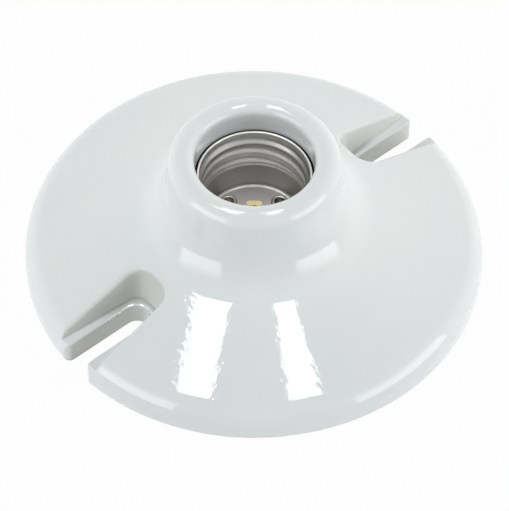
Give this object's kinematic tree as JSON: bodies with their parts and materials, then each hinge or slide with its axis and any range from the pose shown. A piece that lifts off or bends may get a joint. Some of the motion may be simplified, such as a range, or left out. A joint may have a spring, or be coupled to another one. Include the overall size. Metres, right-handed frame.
{
  "type": "ceiling lamp holder",
  "caption": "Keyless porcelain ceiling lamp holder: glazed disc rising to a round neck, screw shell for a lamp cap, open mounting slots, terminals at the hollow back.",
  "frame": {"origin": "centre of the face that lies against the outlet box", "axes": "+Z out of the socket mouth, X through both mounting slots"},
  "size_m": [0.1138, 0.1142, 0.0379],
  "materials": {
    "glazed_porcelain": "gloss",
    "shell_sheet": "satin",
    "brass": "satin",
    "eyelet_metal": "tinned",
    "nickel_plated": "nickel plated"
  },
  "bodies": {
    "holder": {"porcelain_body": "glazed_porcelain", "screw_shell": "shell_sheet", "centre_contact": "brass", "shell_eyelet_a": "eyelet_metal", "shell_eyelet_b": "eyelet_metal", "contact_eyelet": "eyelet_metal", "neutral_terminal_plate": "nickel_plated", "hot_terminal_plate": "brass"},
    "neutral_screw": {"neutral_terminal_screw": "nickel_plated"},
    "hot_screw": {"hot_terminal_screw": "brass"}
  },
  "joints": [
    {"name": "neutral_screw_slide", "type": "slide", "parent": "holder", "child": "neutral_screw", "axis": [0, 0, -1], "range_m": [0, 0.0023]},
    {"name": "hot_screw_slide", "type": "slide", "parent": "holder", "child": "hot_screw", "axis": [0, 0, -1], "range_m": [0, 0.0023]}
  ]
}
